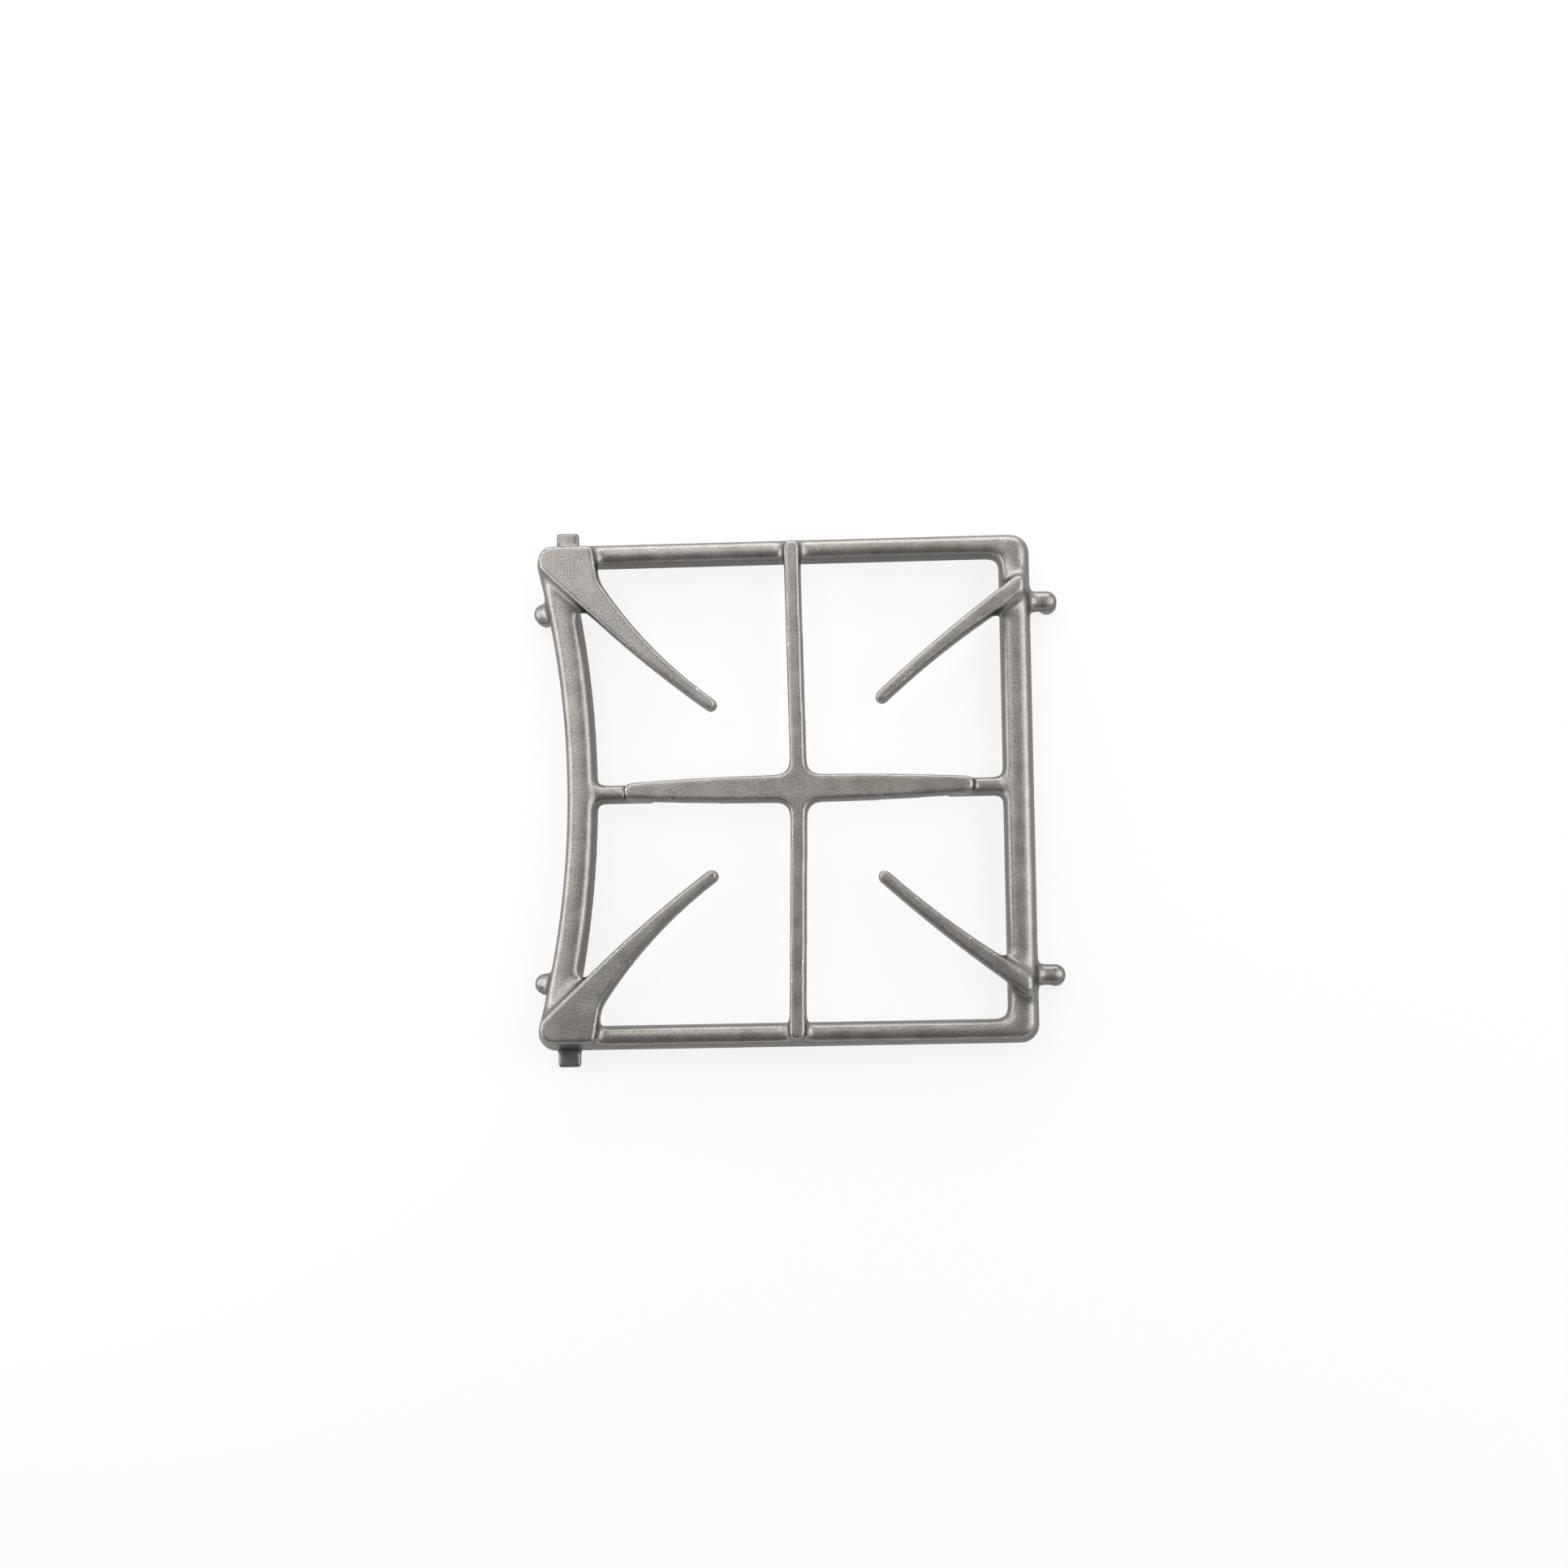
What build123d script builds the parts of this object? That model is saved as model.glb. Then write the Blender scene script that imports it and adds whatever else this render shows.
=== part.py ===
from build123d import *
import os
from math import cos, sin, radians

# Cast iron pan support for one hob burner: a low frame on four feet, with a raised cross and four fingers.
# Millimetres. The feet stand on the hob glass at z = 0, +Z is up, and the frame is even about the XZ plane.

# Overall heights
pan_height = 28.0
bar_level = 13.0

# Frame bars, measured at the parting line
frame_depth = 247.3
right_edge_x = 115.0
left_edge_x = -111.5
left_corner_x = -128.8
right_corner_radius = 9.0
left_corner_radius = 9.0
side_bar_width = 15.2
cross_bar_width = 11.9
left_bar_root_width = 20.0
inner_corner_radius = 4.0
bar_draft = 10.5
bar_edge_radius = 2.8
bar_drop = 8.5
under_draft = 15.0
under_edge_break = 1.2

# Raised ribs: one section for the cross and the fingers
burner_x = 2.0
rib_stand = 5.0
rib_depth = 8.0
rib_draft = 5.0
rib_edge_break = 0.7
joint_radius = 3.0

# Cross over the burner
ridge_half_length = 84.0
ridge_mid_width = 12.4
ridge_end_width = 7.2
ridge_end_radius = 3.3
spine_width = 7.0
spine_bow = 2.2
crossing_radius = 6.5

# Low links that carry the ridge ends
link_inner_reach = 71.0
link_root = 7.0
link_width = 9.5
link_step = 1.5
link_draft = 9.3
link_edge_radius = 2.5

# Fingers, placed from the frame corners
tip_radius = 2.6
left_tip_x = 88.5
left_tip_y = 81.95
left_tip_angle = -36.5
left_root_x = 32.1
left_root_y = 37.9
left_root_run = 60.0
gusset_edge_x = 34.2
gusset_edge_y = 19.8
gusset_end_x = 29.5
gusset_end_y = 9.3
gusset_edge_radius = 15.0
right_tip_x = 72.4
right_tip_y = 80.05
right_tip_angle = 222.5
right_root_x = 20.0
right_upper_root_y = 33.0
right_lower_root_y = 42.2
right_root_run = 33.0

# Feet, bent down from the side bars: foot_root is how far an arm runs in past the right bar's edge
foot_x = 122.95
foot_y = 90.9
foot_radius = 5.0
foot_level = 10.0
foot_root = 5.05

# Locating tabs at the left corners
tab_x = -111.3
tab_level = 6.0
tab_width = 11.0
tab_reach = 7.6
tab_thickness = 4.0
tab_corner_radius = 1.0

# Positions that follow from the sizes above
half_depth = frame_depth / 2
inner_y = half_depth - cross_bar_width
opening_left_x = left_corner_x + left_bar_root_width
opening_right_x = right_edge_x - side_bar_width
bar_rise = pan_height - rib_stand - bar_level
link_rise = bar_rise - link_step
rib_bottom = pan_height - rib_depth
foot_arm = foot_x - right_edge_x + foot_root
overrun = 2.0
bar_plane = Plane.XY.offset(bar_level)
pan_plane = Plane.XY.offset(pan_height)


def sloping(faces):
    """Return the side faces, leaving out the flat top and bottom."""
    return faces.filter_by(Plane.XY, reverse=True)


def joints(edges, level):
    """Return the edges above a level, inside the frame outline, where a joined piece meets the frame."""
    return edges.filter_by(lambda edge: edge.center().Z > level + 0.1
                           and left_corner_x < edge.center().X < right_edge_x
                           and abs(edge.center().Y) < half_depth)


def clear_of_links(edge):
    """Tell whether an edge lies away from the links, where the ridge ends simply stand."""
    return abs(edge.center().Y) > link_width


def tip_points(x, y, angle):
    """Return the left side, end and right side of a rounded finger tip, and the way back to its root."""
    ahead = Vector(cos(radians(angle)), sin(radians(angle)))
    across = Vector(-ahead.Y, ahead.X)
    centre = Vector(x, y)
    aside = across * tip_radius
    return centre + aside, centre + ahead * tip_radius, centre - aside, ahead * -1


def finger_side(start, root, back, run):
    """Draw one side of a finger, curved up to the bar and straight over it, and return its far end."""
    curve = TangentArc(start, root, tangent=back)
    straight = Line(root, curve @ 1 + curve % 1 * run)
    return straight @ 1


# Outer outline of the frame: straight on three sides, the left side bowed in towards the burner
with BuildSketch(bar_plane) as outline:
    with BuildLine():
        Polyline((left_corner_x, -half_depth), (right_edge_x, -half_depth),
                 (right_edge_x, half_depth), (left_corner_x, half_depth))
        ThreePointArc((left_corner_x, half_depth), (left_edge_x, 0), (left_corner_x, -half_depth))
    make_face()
    fillet(outline.vertices().group_by(Axis.X)[-1], right_corner_radius)
    fillet(outline.vertices().group_by(Axis.X)[0], left_corner_radius)

# Opening inside the bars
with BuildSketch(bar_plane) as opening:
    with BuildLine():
        Polyline((opening_left_x, -inner_y), (opening_right_x, -inner_y),
                 (opening_right_x, inner_y), (opening_left_x, inner_y))
        ThreePointArc((opening_left_x, inner_y), (left_edge_x + side_bar_width, 0),
                      (opening_left_x, -inner_y))
    make_face()
    fillet(opening.vertices(), inner_corner_radius)

# Outer flank of the frame, tapering up past the pan level
with BuildPart() as flank:
    extrude(outline.sketch, amount=pan_height - bar_level + overrun)
    draft(sloping(flank.faces()), neutral_plane=bar_plane, angle=bar_draft)

# Space inside the bars, opening out upwards
with BuildPart() as hollow:
    extrude(opening.sketch, amount=bar_rise)
    draft(sloping(hollow.faces()), neutral_plane=bar_plane, angle=-bar_draft)

# Bars with their inner edges rounded, left oversize outside until every rib has been joined on
with BuildPart() as bars:
    with BuildSketch(bar_plane):
        with Locations((left_corner_x - overrun, 0)):
            Rectangle(right_edge_x - left_corner_x + 2 * overrun, frame_depth + 2 * overrun,
                      align=(Align.MIN, Align.CENTER))
    extrude(amount=bar_rise)
    add(hollow.part, mode=Mode.SUBTRACT)
    fillet(bars.faces().sort_by(Axis.Z)[-1].inner_wires()[0].edges(), bar_edge_radius)

# Low links from the side bars in under the ridge ends
with BuildPart() as right_link:
    with BuildSketch(bar_plane):
        with Locations((burner_x + link_inner_reach, 0)):
            Rectangle(right_edge_x - link_root - burner_x - link_inner_reach, link_width,
                      align=(Align.MIN, Align.CENTER))
    extrude(amount=link_rise)
    draft(sloping(right_link.faces()), neutral_plane=bar_plane, angle=link_draft)
    fillet(right_link.edges().filter_by(Axis.X).group_by(Axis.Z)[-1], link_edge_radius)

with BuildPart() as left_link:
    with BuildSketch(bar_plane):
        with Locations((burner_x - link_inner_reach, 0)):
            Rectangle(burner_x - link_inner_reach - left_edge_x - link_root, link_width,
                      align=(Align.MAX, Align.CENTER))
    extrude(amount=link_rise)
    draft(sloping(left_link.faces()), neutral_plane=bar_plane, angle=link_draft)
    fillet(left_link.edges().filter_by(Axis.X).group_by(Axis.Z)[-1], link_edge_radius)

# Top ridge across the burner and the spine from front to back, as seen from above
ridge_left_x = burner_x - ridge_half_length
ridge_right_x = burner_x + ridge_half_length
ridge_end_y = ridge_end_width / 2
ridge_mid_y = ridge_mid_width / 2
spine_end_x = burner_x - spine_bow
spine_end_y = half_depth + 3 * overrun
spine_half = spine_width / 2
with BuildSketch(pan_plane) as cross_top:
    with BuildLine():
        ThreePointArc((ridge_left_x, ridge_end_y), (burner_x, ridge_mid_y), (ridge_right_x, ridge_end_y))
        Line((ridge_right_x, ridge_end_y), (ridge_right_x, -ridge_end_y))
        ThreePointArc((ridge_right_x, -ridge_end_y), (burner_x, -ridge_mid_y), (ridge_left_x, -ridge_end_y))
        Line((ridge_left_x, -ridge_end_y), (ridge_left_x, ridge_end_y))
    make_face()
    fillet(cross_top.vertices(), ridge_end_radius)
    with BuildLine():
        Polyline((burner_x - spine_half, 0), (spine_end_x - spine_half, spine_end_y),
                 (spine_end_x + spine_half, spine_end_y), (burner_x + spine_half, 0),
                 (spine_end_x + spine_half, -spine_end_y), (spine_end_x - spine_half, -spine_end_y),
                 close=True)
    make_face()
    fillet(cross_top.vertices().sort_by_distance((burner_x, 0, 0))[:4], crossing_radius)

with BuildPart() as cross:
    extrude(cross_top.sketch, amount=-rib_depth)
    draft(sloping(cross.faces()), neutral_plane=pan_plane, angle=rib_draft)

# Left finger: it widens into a gusset over the frame corner
left_root = (left_corner_x + left_root_x, half_depth - left_root_y)
gusset_edge = (left_corner_x + gusset_edge_x, half_depth - gusset_edge_y)
gusset_end = (left_corner_x + gusset_end_x, half_depth + gusset_end_y)
upper, end, lower, back = tip_points(left_corner_x + left_tip_x, half_depth - left_tip_y, left_tip_angle)
with BuildSketch(pan_plane) as left_top:
    with BuildLine():
        ThreePointArc(upper, end, lower)
        left_end = finger_side(lower, left_root, back, left_root_run)
        Polyline(left_end, gusset_end, gusset_edge)
        TangentArc(upper, gusset_edge, tangent=back)
    make_face()
    fillet(left_top.vertices().sort_by_distance(gusset_edge)[0], gusset_edge_radius)

with BuildPart() as left_fingers:
    extrude(left_top.sketch, amount=-rib_depth)
    draft(sloping(left_fingers.faces()), neutral_plane=pan_plane, angle=rib_draft)
    mirror(about=Plane.XZ)

# Right finger: it runs into the side bar below the corner
right_upper_root = (right_edge_x - right_root_x, half_depth - right_upper_root_y)
right_lower_root = (right_edge_x - right_root_x, half_depth - right_lower_root_y)
lower, end, upper, back = tip_points(right_edge_x - right_tip_x, half_depth - right_tip_y, right_tip_angle)
with BuildSketch(pan_plane) as right_top:
    with BuildLine():
        ThreePointArc(lower, end, upper)
        upper_end = finger_side(upper, right_upper_root, back, right_root_run)
        lower_end = finger_side(lower, right_lower_root, back, right_root_run)
        Line(upper_end, lower_end)
    make_face()

with BuildPart() as right_fingers:
    extrude(right_top.sketch, amount=-rib_depth)
    draft(sloping(right_fingers.faces()), neutral_plane=pan_plane, angle=rib_draft)
    mirror(about=Plane.XZ)

# Underside of the bars, tapering in below the parting line
with BuildPart() as underside:
    with BuildSketch(bar_plane):
        add(outline.sketch)
        add(opening.sketch, mode=Mode.SUBTRACT)
    extrude(amount=-bar_drop)
    draft(sloping(underside.faces()), neutral_plane=bar_plane, angle=-under_draft)
    chamfer(underside.faces().sort_by(Axis.Z)[0].edges(), under_edge_break)

# Four round feet: an arm leaves the side bar level and meets a dome-topped leg that stands on the hob
foot_axis = Axis((foot_x, foot_y, 0), (0, 0, 1))
with BuildPart() as feet:
    with BuildSketch(Plane(origin=(foot_x, foot_y, 0), x_dir=(1, 0, 0), z_dir=(0, -1, 0))):
        with BuildLine():
            Polyline((0, foot_level + foot_radius), (0, 0), (foot_radius, 0), (foot_radius, foot_level))
            RadiusArc((foot_radius, foot_level), (0, foot_level + foot_radius), -foot_radius)
        make_face()
    revolve(axis=foot_axis)
    with BuildSketch(Plane(origin=(foot_x, foot_y, foot_level), z_dir=(-1, 0, 0))):
        Circle(foot_radius)
    extrude(amount=foot_arm)
    mirror(about=Plane.XZ)
    mirror(about=Plane.YZ)

# Flat tabs standing out beyond the left corners
with BuildPart() as tabs:
    with BuildSketch(Plane.XY.offset(tab_level)) as tab_plan:
        with Locations((tab_x, half_depth)):
            Rectangle(tab_width, 2 * tab_reach)
        fillet(tab_plan.vertices().group_by(Axis.Y)[-1], tab_corner_radius)
    extrude(amount=tab_thickness)
    mirror(about=Plane.XZ)

# The casting: ribs are joined with soft fillets, the outside is cut to its taper, then the edges are rounded
with BuildPart() as pan_support:
    add(bars.part)
    add((right_link.part, left_link.part))
    fillet(joints(pan_support.edges(Select.NEW), bar_level), joint_radius)
    for ribs in (cross, left_fingers, right_fingers):
        add(ribs.part)
        fillet(joints(pan_support.edges(Select.NEW), rib_bottom).filter_by(clear_of_links), joint_radius)
    add(flank.part, mode=Mode.INTERSECT)
    trimmed_edges = pan_support.edges(Select.NEW)
    fillet(trimmed_edges.filter_by(lambda edge: edge.center().Z < pan_height - 0.1), bar_edge_radius)
    chamfer(pan_support.faces().filter_by(Plane.XY).group_by(Axis.Z)[-1].edges(), rib_edge_break)
    add(underside.part)
    add(feet.part)
    add(tabs.part)

pan_support.part.label = "pan_support"
os.makedirs("parts", exist_ok=True)
export_step(pan_support.part, "parts/pan_support.step")
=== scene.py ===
import bmesh
import bpy
import numpy as np
from math import pi, radians
from mathutils import Matrix, Vector


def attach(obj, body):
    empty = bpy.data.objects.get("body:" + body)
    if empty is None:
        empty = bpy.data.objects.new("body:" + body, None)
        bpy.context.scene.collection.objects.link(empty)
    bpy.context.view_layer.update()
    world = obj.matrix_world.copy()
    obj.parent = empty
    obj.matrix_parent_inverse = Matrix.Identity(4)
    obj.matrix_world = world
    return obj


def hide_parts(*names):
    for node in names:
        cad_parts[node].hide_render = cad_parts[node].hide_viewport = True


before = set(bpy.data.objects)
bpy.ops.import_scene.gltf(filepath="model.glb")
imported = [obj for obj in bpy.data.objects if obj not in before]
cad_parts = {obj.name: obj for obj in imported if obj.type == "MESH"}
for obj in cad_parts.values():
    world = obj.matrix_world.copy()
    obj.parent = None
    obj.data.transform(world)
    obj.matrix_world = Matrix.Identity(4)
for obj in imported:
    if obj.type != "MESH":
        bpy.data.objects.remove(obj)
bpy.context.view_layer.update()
bpy.context.scene.view_settings.view_transform = "Standard"


# The casting
# The whole pan support is one piece of grey iron, poured in a sand mould, so every edge and corner is a
# little soft. It lies on its four feet. The mesh is the construction solid, rounded as the sand leaves it.

MM = 0.001
weld_gap = 0.002 * MM
skin_voxel = 0.7 * MM
skin_triangles = 180000

# How far a point goes towards its neighbours' mean in one pass, and the passes for each rounding
pass_share = 0.5
hollow_passes = 90
bar_passes = 34
end_passes = 18
soften_passes = 6

# Heights above the hob and reaches from the middle that mark the bars, links and right fingers' ends
parting_line = 14 * MM
bar_top = 23.4 * MM
bar_inside = 97 * MM
link_half_width = 7 * MM
finger_end = 100 * MM
finger_end_fade = 6 * MM

# A face whose normal rises less than this is a rib's side, and one that rises this much more is a bar's
rib_side_lean = 0.12
rib_side_fade = 0.1


def neighbour_mean(values, edges):
    """Give each point the mean of what its neighbours hold: the sum over its edges, over their count."""
    start = np.concatenate([edges[:, 0], edges[:, 1]])
    other = np.concatenate([edges[:, 1], edges[:, 0]])
    count = np.bincount(start, minlength=len(values))
    total = [np.bincount(start, weights=column[other], minlength=len(values)) for column in values.T]
    return np.stack(total, axis=1) / count[:, None]


def mesh_arrays(mesh):
    """Read a mesh's points, point normals and edges as whole arrays."""
    points = np.empty(len(mesh.vertices) * 3)
    normals = np.empty(len(mesh.vertices) * 3)
    edges = np.empty(len(mesh.edges) * 2, dtype=np.int32)
    mesh.vertices.foreach_get("co", points)
    mesh.vertex_normals.foreach_get("vector", normals)
    mesh.edges.foreach_get("vertices", edges)
    return points.reshape(-1, 3), normals.reshape(-1, 3), edges.reshape(-1, 2)


def move_points(mesh, points):
    """Put the points back into the mesh."""
    mesh.vertices.foreach_set("co", points.ravel())
    mesh.update()


def soft_as_cast(mesh):
    """Round a mesh as sand and molten metal do.

    Each pass moves a point half way to its neighbours' mean. The first passes keep only the outward part
    of that move, along the point's normal, so inside corners fill into fillets while outside edges stay.
    The next passes keep the whole move on the bars alone, for their broad roundings: there a point lies
    between the parting line and the bars' top, faces up more than the ribs' sides do, and is off the links.
    The right fingers' ends above the bar get passes of their own. The last ones take the sharpness off
    every edge.
    """
    for _ in range(hollow_passes):
        points, normals, edges = mesh_arrays(mesh)
        move = neighbour_mean(points, edges) - points
        rise = np.clip(np.sum(move * normals, axis=1), 0, None)
        move_points(mesh, points + pass_share * rise[:, None] * normals)
    points, normals, edges = mesh_arrays(mesh)
    across, along, height = points.T
    faces_up = np.clip((normals[:, 2] - rib_side_lean) / rib_side_fade, 0, 1)
    off_links = (np.abs(along) > link_half_width) | (np.abs(across) > bar_inside)
    on_bar = faces_up * (height > parting_line) * (height < bar_top) * off_links
    on_end = np.clip((across - finger_end) / finger_end_fade, 0, 1) * (height > bar_top)
    for weight, passes in ((on_bar, bar_passes), (on_end, end_passes)):
        for _ in range(passes):
            points = points + pass_share * weight[:, None] * (neighbour_mean(points, edges) - points)
    for _ in range(soften_passes):
        points = points + pass_share * (neighbour_mean(points, edges) - points)
    move_points(mesh, points)


def mark_edges(mesh):
    """Store how sharply each point bends outwards, in 1/mm, as the point attribute "edge_bend".

    Along an edge the bend is the change of the normals, taken along the edge, over the edge's length. A
    point gets the mean over its edges, evened out once with its neighbours.
    """
    shortest_squared = 1e-12
    points, normals, edges = mesh_arrays(mesh)
    along = points[edges[:, 1]] - points[edges[:, 0]]
    turn = normals[edges[:, 1]] - normals[edges[:, 0]]
    length_squared = np.maximum(np.sum(along * along, axis=1), shortest_squared)
    bend = np.sum(turn * along, axis=1) / length_squared * MM
    ends = edges.ravel()
    total = np.bincount(ends, weights=np.repeat(bend, 2), minlength=len(points))
    bend = total / np.maximum(np.bincount(ends, minlength=len(points)), 1)
    bend = (bend + neighbour_mean(bend[:, None], edges)[:, 0]) / 2
    mesh.attributes.new("edge_bend", "FLOAT", "POINT").data.foreach_set("value", bend)


def evaluated(piece):
    """Return a piece's mesh with its modifiers worked in."""
    graph = bpy.context.evaluated_depsgraph_get()
    return bpy.data.meshes.new_from_object(piece.evaluated_get(graph))


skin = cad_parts["pan_support"].data.copy()
welded = bmesh.new()
welded.from_mesh(skin)
bmesh.ops.remove_doubles(welded, verts=welded.verts, dist=weld_gap)
welded.to_mesh(skin)
welded.free()
casting = bpy.data.objects.new("casting", skin)
bpy.context.scene.collection.objects.link(casting)

remesh = casting.modifiers.new("even_skin", "REMESH")
remesh.mode = "VOXEL"
remesh.voxel_size = skin_voxel
skin = evaluated(casting)
casting.modifiers.clear()
soft_as_cast(skin)
casting.data = skin

# The even skin is all four-sided faces, two triangles each
thin = casting.modifiers.new("fewer_faces", "DECIMATE")
thin.ratio = min(1.0, skin_triangles / (2 * len(skin.polygons)))
skin = evaluated(casting)
casting.modifiers.clear()
skin.name = "casting"
skin.shade_smooth()
mark_edges(skin)
casting.data = skin


def linear(colour):
    """Turn an sRGB hex colour into linear red, green, blue and alpha."""
    channels = [int(colour[i:i + 2], 16) / 255 for i in (1, 3, 5)]
    return [c / 12.92 if c <= 0.04045 else ((c + 0.055) / 1.055) ** 2.4 for c in channels] + [1.0]


def add_node(tree, kind, settings=None, **inputs):
    """Add a node, set its settings, and give each input a value or a link from another node's output.

    An input goes by its name, with _ for a space, or by its number after a _ where several share a name.
    """
    new = tree.nodes.new(kind)
    for name, value in (settings or {}).items():
        setattr(new, name, value)
    for name, value in inputs.items():
        socket = new.inputs[int(name[1:])] if name[0] == "_" else new.inputs[name.replace("_", " ")]
        if isinstance(value, bpy.types.NodeSocket):
            tree.links.new(value, socket)
        else:
            socket.default_value = value
    return new


# Satin grey cast iron: sand-cast and blasted clean. It gives the eye a warm mid grey with a fine sandy
# grain and faint clouds, with painted highlights and a few painted glints on its upper roundings, and
# painted shade on its steep sides, in its hollows and low down.
iron = bpy.data.materials.new("satin_cast_iron")
iron.use_nodes = True
tree = iron.node_tree
tree.nodes.clear()
coordinates = add_node(tree, "ShaderNodeTexCoord").outputs
place = coordinates["Object"]

cloud_size = 12 * MM
cloud = add_node(tree, "ShaderNodeTexNoise", Vector=place, Scale=1 / cloud_size, Detail=4.0, Roughness=0.6)
tone = add_node(tree, "ShaderNodeValToRGB", Fac=cloud.outputs["Fac"])
tone.color_ramp.elements[0].position = 0.35
tone.color_ramp.elements[0].color = linear("#8f8b87")
tone.color_ramp.elements[1].position = 0.65
tone.color_ramp.elements[1].color = linear("#a09c98")

# The sand grain is really about 0.3 mm, and is drawn at 1 mm so that it shows.
grain_size = 1.0 * MM
grain = add_node(tree, "ShaderNodeTexNoise", Vector=place, Scale=1 / grain_size, Detail=2.0, Roughness=0.7)
pit = add_node(tree, "ShaderNodeMapRange", Value=grain.outputs["Fac"], From_Min=0.3, From_Max=0.7,
               To_Min=0.8, To_Max=1.2)
grainy = add_node(tree, "ShaderNodeVectorMath", {"operation": "SCALE"}, _0=tone.outputs["Color"],
                  Scale=pit.outputs["Result"])

# Painted shade: the hollows, the steep sides and all that lies low are darkened.
bend = add_node(tree, "ShaderNodeAttribute", {"attribute_name": "edge_bend"}).outputs["Fac"]
# Painted shade in the hollows: the more a point bends inwards, the darker it is made.
hollow_shade_mask = add_node(tree, "ShaderNodeMapRange", Value=bend, From_Min=-0.02, From_Max=-0.15,
                  To_Min=0.0, To_Max=0.35)
with_hollow_shade = add_node(tree, "ShaderNodeMix", {"data_type": "RGBA"}, _0=hollow_shade_mask.outputs["Result"],
                 _6=grainy.outputs["Vector"], _7=linear("#4c4a48"))
height = add_node(tree, "ShaderNodeSeparateXYZ", Vector=place).outputs["Z"]
# Painted shade low down: the colour darkens from 15 mm down to 9 mm above the hob.
low_shade_mask = add_node(tree, "ShaderNodeMapRange", {"interpolation_type": "SMOOTHSTEP"}, Value=height,
               From_Min=15 * MM, From_Max=9 * MM, To_Min=0.0, To_Max=0.3)
with_low_shade = add_node(tree, "ShaderNodeMix", {"data_type": "RGBA"}, _0=low_shade_mask.outputs["Result"],
                _6=with_hollow_shade.outputs[2], _7=linear("#3a3836"))

level = add_node(tree, "ShaderNodeSeparateXYZ", Vector=coordinates["Normal"]).outputs["Z"]
# Painted shade on the steep sides: the less a face rises, the darker it is made.
steep_shade_mask = add_node(tree, "ShaderNodeMapRange", {"interpolation_type": "SMOOTHSTEP"}, Value=level,
                 From_Min=0.75, From_Max=0.2, To_Min=0.0, To_Max=0.8)
shaded = add_node(tree, "ShaderNodeMix", {"data_type": "RGBA"}, _0=steep_shade_mask.outputs["Result"],
                  _6=with_low_shade.outputs[2], _7=linear("#3a3836"))

# Painted highlight: the upper convex edges are lightened, with a painted glint here and there where a fine
# noise peaks.
convex_highlight_mask = add_node(tree, "ShaderNodeMapRange", Value=bend, From_Min=0.15, From_Max=0.4)
upper = add_node(tree, "ShaderNodeMapRange", Value=height, From_Min=19 * MM, From_Max=23 * MM)
upper_edge_highlight = add_node(tree, "ShaderNodeMath", {"operation": "MULTIPLY"}, _0=convex_highlight_mask.outputs["Result"],
                  _1=upper.outputs["Result"])
highlight_share = 0.15
edge = add_node(tree, "ShaderNodeMath", {"operation": "MULTIPLY"}, _0=upper_edge_highlight.outputs[0], _1=highlight_share)
# Painted highlight mixed into the colour on the upper convex edges.
with_painted_highlight = add_node(tree, "ShaderNodeMix", {"data_type": "RGBA"}, _0=edge.outputs[0],
                  _6=shaded.outputs[2], _7=linear("#d2cfca"))
glint_size = 1.6 * MM
# Painted glints: near-white spots where a fine noise peaks on the lightened upper edges.
glint = add_node(tree, "ShaderNodeTexNoise", Vector=place, Scale=1 / glint_size, Detail=0.0)
glint_spots = add_node(tree, "ShaderNodeMapRange", Value=glint.outputs["Fac"], From_Min=0.74, From_Max=0.82)
painted_glint = add_node(tree, "ShaderNodeMath", {"operation": "MULTIPLY"}, _0=upper_edge_highlight.outputs[0],
                 _1=glint_spots.outputs["Result"])
with_painted_glint = add_node(tree, "ShaderNodeMix", {"data_type": "RGBA"}, _0=painted_glint.outputs[0],
                    _6=with_painted_highlight.outputs[2], _7=linear("#fbfaf8"))

gloss = add_node(tree, "ShaderNodeMapRange", Value=cloud.outputs["Fac"], From_Min=0.3, From_Max=0.7,
                 To_Min=0.34, To_Max=0.42)
grain_depth = 0.16 * MM
bump = add_node(tree, "ShaderNodeBump", Height=grain.outputs["Fac"], Strength=0.6, Distance=grain_depth)
surface = add_node(tree, "ShaderNodeBsdfPrincipled", Base_Color=with_painted_glint.outputs[2], Metallic=0.95,
                   Roughness=gloss.outputs["Result"], Normal=bump.outputs["Normal"])
add_node(tree, "ShaderNodeOutputMaterial", Surface=surface.outputs["BSDF"])

casting.data.materials.clear()
casting.data.materials.append(iron)
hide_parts("pan_support")
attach(casting, "root")


# The floor
# A plain white sheet under the feet, wide enough to fill the view. Most of its white is its own glow, so
# the casting's shadow on it stays faint.
floor_half = 40.0
floor_glow = 0.84
corners = [(-floor_half, -floor_half, 0), (floor_half, -floor_half, 0), (floor_half, floor_half, 0),
           (-floor_half, floor_half, 0)]
sheet = bpy.data.meshes.new("floor")
sheet.from_pydata(corners, [], [(0, 1, 2, 3)])
floor = bpy.data.objects.new("floor", sheet)
bpy.context.scene.collection.objects.link(floor)

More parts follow.
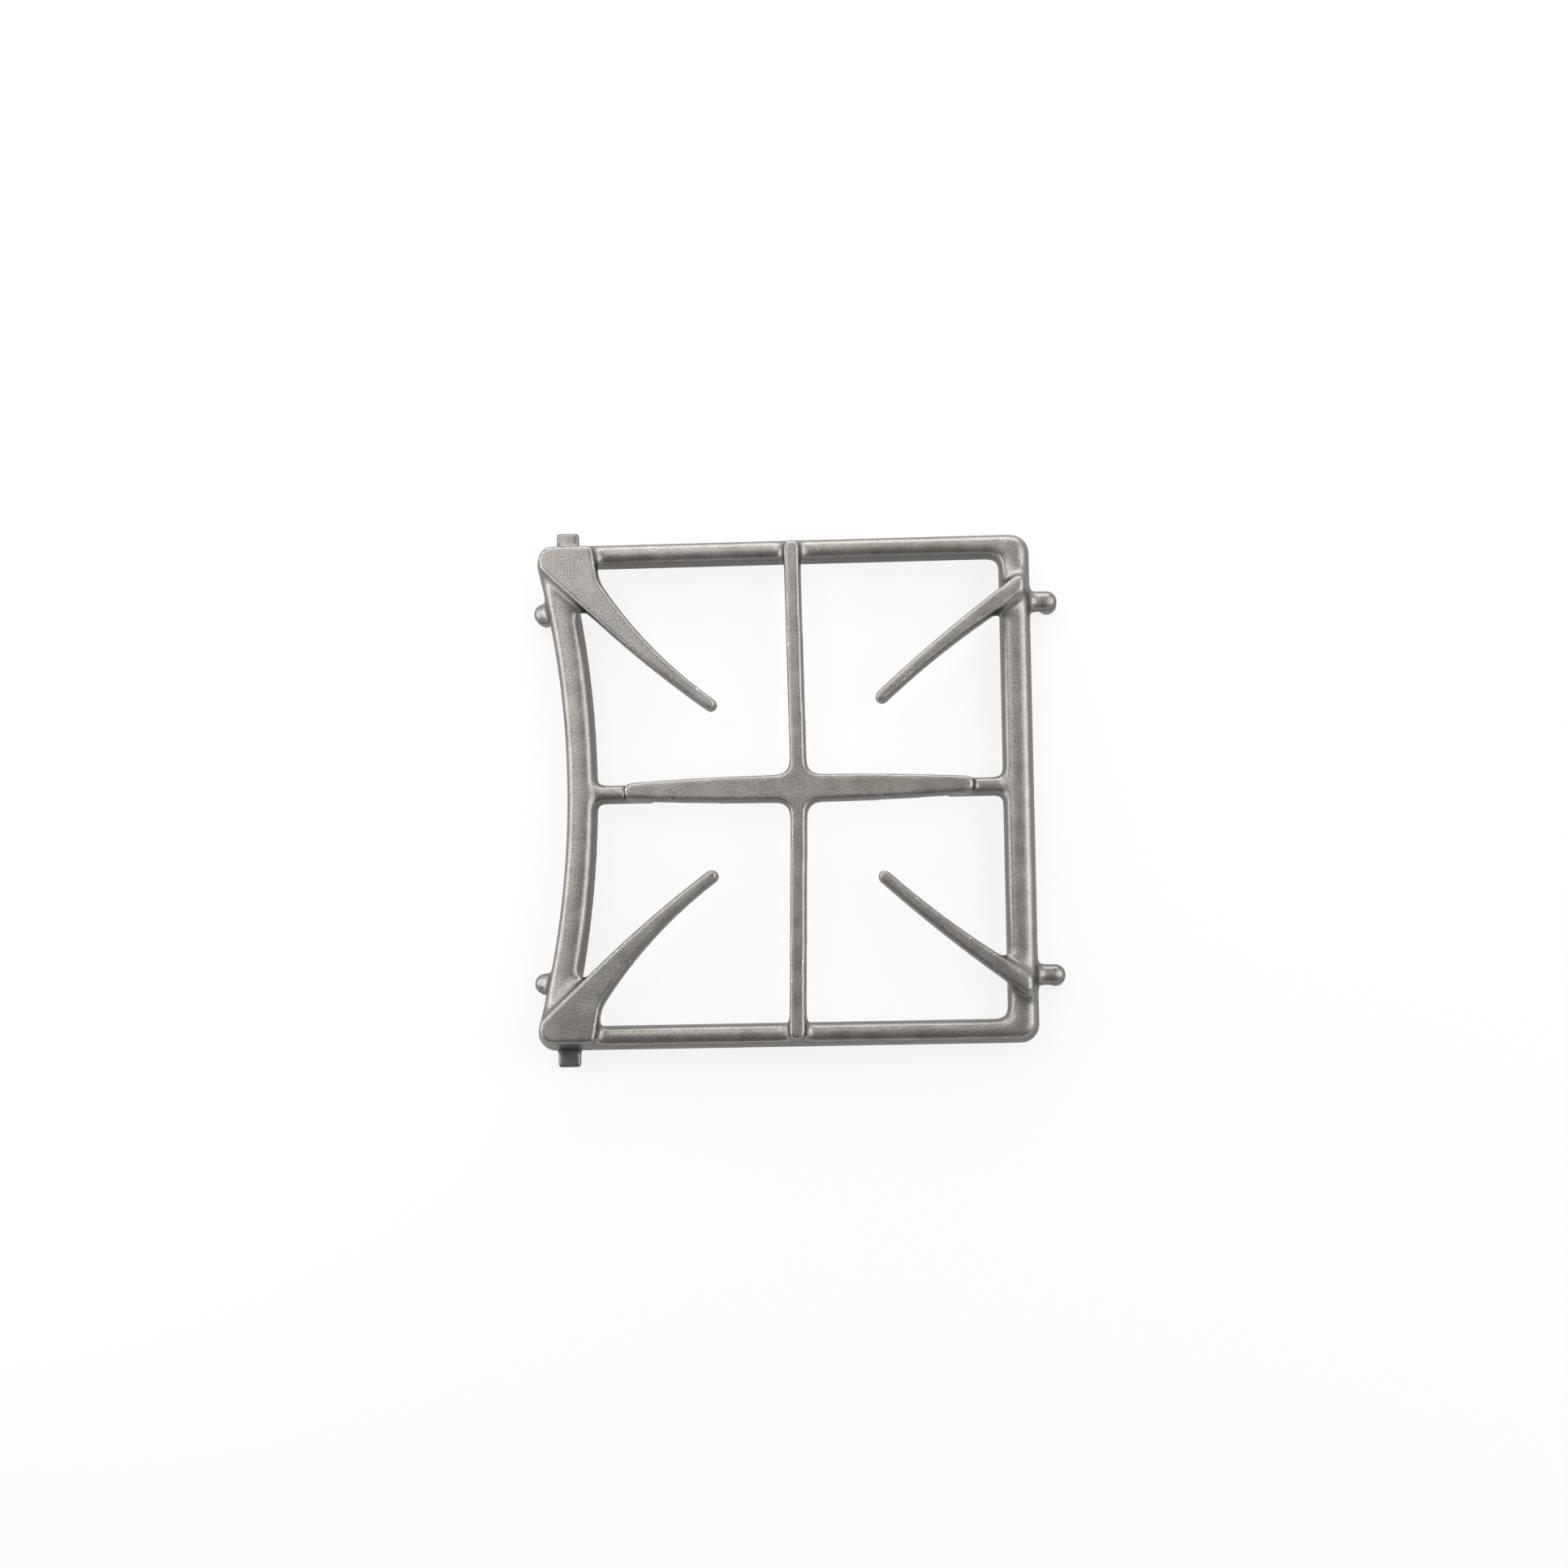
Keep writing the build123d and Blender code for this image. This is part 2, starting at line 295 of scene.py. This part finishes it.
paper = bpy.data.materials.new("white_paper")
paper.use_nodes = True
tree = paper.node_tree
tree.nodes.clear()
ray = add_node(tree, "ShaderNodeLightPath").outputs
seen = add_node(tree, "ShaderNodeMath", {"operation": "MAXIMUM"}, _0=ray["Is Camera Ray"],
                _1=ray["Is Glossy Ray"])
seen = add_node(tree, "ShaderNodeMath", {"operation": "MAXIMUM"}, _0=seen.outputs[0],
                _1=ray["Is Transmission Ray"])
share = add_node(tree, "ShaderNodeMath", {"operation": "MULTIPLY"}, _0=seen.outputs[0], _1=floor_glow)
lit = add_node(tree, "ShaderNodeBsdfDiffuse", Color=linear("#6c6c6c"))
glow = add_node(tree, "ShaderNodeEmission", Color=linear("#ffffff"), Strength=share.outputs[0])
both = add_node(tree, "ShaderNodeAddShader", _0=lit.outputs["BSDF"], _1=glow.outputs["Emission"])
add_node(tree, "ShaderNodeOutputMaterial", Surface=both.outputs["Shader"])
sheet.materials.append(paper)


# The light
# A room that is dim overhead and pale low down, a soft panel overhead to the back left, a large one at the
# right, and two low ones at the back and the left. The last three draw bright lines along rounded edges.


def add_panel(name, at, width, height, radiance):
    """Add a soft light panel facing the casting. Its power is its radiance times its area times pi."""
    panel = bpy.data.lights.new(name, "AREA")
    panel.shape = "RECTANGLE"
    panel.size = width
    panel.size_y = height
    panel.energy = radiance * width * height * pi
    lamp = bpy.data.objects.new(name, panel)
    lamp.location = at
    lamp.visible_camera = False
    lamp.rotation_euler = Vector(at).to_track_quat("Z", "Y").to_euler()
    bpy.context.scene.collection.objects.link(lamp)


add_panel("overhead_panel", at=(-0.62, 0.72, 1.6), width=0.9, height=0.9, radiance=3.1)
add_panel("back_panel", at=(0.0, 0.55, 0.25), width=0.8, height=0.34, radiance=3.2)
add_panel("right_panel", at=(1.1, 0.1, 0.95), width=1.2, height=1.35, radiance=2.8)
add_panel("left_panel", at=(-0.5, 0.05, 0.22), width=0.5, height=0.28, radiance=3.2)

room = bpy.data.worlds.new("dim_room")
room.use_nodes = True
tree = room.node_tree
tree.nodes.clear()
direction = add_node(tree, "ShaderNodeTexCoord").outputs["Generated"]
rise = add_node(tree, "ShaderNodeSeparateXYZ", Vector=direction)
glow = add_node(tree, "ShaderNodeMapRange", {"interpolation_type": "SMOOTHSTEP"}, Value=rise.outputs["Z"],
                From_Min=0.08, From_Max=0.25, To_Min=0.9, To_Max=0.2)
air = add_node(tree, "ShaderNodeBackground", Color=linear("#ffffff"), Strength=glow.outputs["Result"])
add_node(tree, "ShaderNodeOutputWorld", Surface=air.outputs["Background"])
bpy.context.scene.world = room


# The camera
# It looks down on the support from a little in front and to the right, from about 1.7 m.
sensor_mm = 36.0
lens_mm = 80.6
camera_at = Vector((109.4, -236.77, 1692.0)) * MM
camera_yaw = radians(3.926)
camera_pitch = radians(8.132)
camera_roll = radians(-0.730)
view = bpy.data.cameras.new("camera")
view.sensor_width = sensor_mm
view.lens = lens_mm
camera = bpy.data.objects.new("camera", view)
turn = Matrix.Rotation(camera_yaw, 4, "Y") @ Matrix.Rotation(camera_pitch, 4, "X")
turn = turn @ Matrix.Rotation(camera_roll, 4, "Z")
camera.matrix_world = Matrix.Translation(camera_at) @ turn
bpy.context.scene.collection.objects.link(camera)
bpy.context.scene.camera = camera
